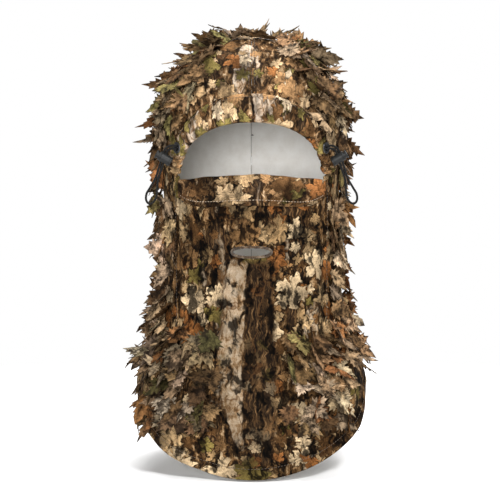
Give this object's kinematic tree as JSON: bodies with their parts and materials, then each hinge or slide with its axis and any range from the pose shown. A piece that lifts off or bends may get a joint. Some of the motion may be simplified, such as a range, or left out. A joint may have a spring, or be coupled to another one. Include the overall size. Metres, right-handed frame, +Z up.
{
  "type": "camo face mask",
  "caption": "Pull-on hood and face cover of printed camouflage stretch cloth with leaf strips, a mouth slot, a shaped bib and a drawcord brow with side cord locks.",
  "frame": {"origin": "the inside of the hood's highest point, where the head carries it", "axes": "+Z up when worn, the face looks along -Y, +X to the wearer's left"},
  "size_m": [0.2402, 0.2406, 0.4232],
  "materials": {
    "printed_cloth": "camouflage print of bark and leaves on brushed stretch knit, matt",
    "shaded_cloth": "the darker stretches of the same print, matt",
    "leaf_cloth": "laser-cut printed leaves in tan, rust, olive and cream, matt",
    "cord": "black braided elastic cord",
    "black_plastic": "black moulded, slight sheen",
    "dark_steel": "dark plated"
  },
  "bodies": {
    "hood": {"crown_panel_left": "printed_cloth", "crown_panel_right": "printed_cloth", "nape_panel_left": "printed_cloth", "nape_panel_right": "printed_cloth", "shoulder_panel_left": "printed_cloth", "shoulder_panel_right": "printed_cloth", "mouth_panel_left": "printed_cloth", "mouth_panel_right": "printed_cloth", "brow_casing": "printed_cloth", "cheek_panel_left": "shaded_cloth", "cheek_panel_right": "shaded_cloth", "back_bib_left": "shaded_cloth", "back_bib_right": "shaded_cloth", "nose_panel_left": "shaded_cloth", "nose_panel_right": "shaded_cloth", "front_bib_left": "shaded_cloth", "front_bib_right": "shaded_cloth", "front_hem_left": "shaded_cloth", "front_hem_right": "shaded_cloth", "back_hem_left": "shaded_cloth", "back_hem_right": "shaded_cloth", "mouth_slot_binding": "shaded_cloth", "crown_leaves_1": "leaf_cloth", "crown_leaves_2": "leaf_cloth", "crown_leaves_3": "leaf_cloth", "crown_leaves_4": "leaf_cloth", "neck_leaves_1": "leaf_cloth", "neck_leaves_2": "leaf_cloth", "neck_leaves_3": "leaf_cloth", "neck_leaves_4": "leaf_cloth", "neck_leaves_5": "leaf_cloth", "neck_leaves_6": "leaf_cloth", "neck_leaves_7": "leaf_cloth", "bib_leaves_left_1": "leaf_cloth", "bib_leaves_left_2": "leaf_cloth", "bib_leaves_left_3": "leaf_cloth", "bib_leaves_right_1": "leaf_cloth", "bib_leaves_right_2": "leaf_cloth", "bib_leaves_right_3": "leaf_cloth", "brow_drawcord": "cord", "cord_loop_left": "cord", "cord_loop_right": "cord", "cord_eyelet_left": "dark_steel", "cord_eyelet_right": "dark_steel"},
    "nose_band": {"nose_band_left": "printed_cloth", "nose_band_right": "printed_cloth"},
    "left_lock": {"lock_barrel_left": "black_plastic", "lock_spring_left": "dark_steel"},
    "left_button": {"lock_button_left": "black_plastic"},
    "right_lock": {"lock_barrel_right": "black_plastic", "lock_spring_right": "dark_steel"},
    "right_button": {"lock_button_right": "black_plastic"}
  },
  "joints": [
    {"name": "nose_band_pull", "type": "slide", "parent": "hood", "child": "nose_band", "axis": [0, 0, -1], "range_m": [0, 0.022], "deforming": ["nose_panel_left", "nose_panel_right"]},
    {"name": "left_lock_slide", "type": "slide", "parent": "hood", "child": "left_lock", "axis": [0.309, 0, -0.9511], "range_m": [0, 0.014]},
    {"name": "left_button_press", "type": "slide", "parent": "left_lock", "child": "left_button", "axis": [-0.866, 0, -0.5], "range_m": [0, 0.0014], "stiffness_N_per_m": 300, "springref_m": -0.003, "deforming": ["lock_spring_left"]},
    {"name": "right_lock_slide", "type": "slide", "parent": "hood", "child": "right_lock", "axis": [-0.309, 0, -0.9511], "range_m": [0, 0.014]},
    {"name": "right_button_press", "type": "slide", "parent": "right_lock", "child": "right_button", "axis": [0.866, 0, -0.5], "range_m": [0, 0.0014], "stiffness_N_per_m": 300, "springref_m": -0.003, "deforming": ["lock_spring_right"]}
  ]
}
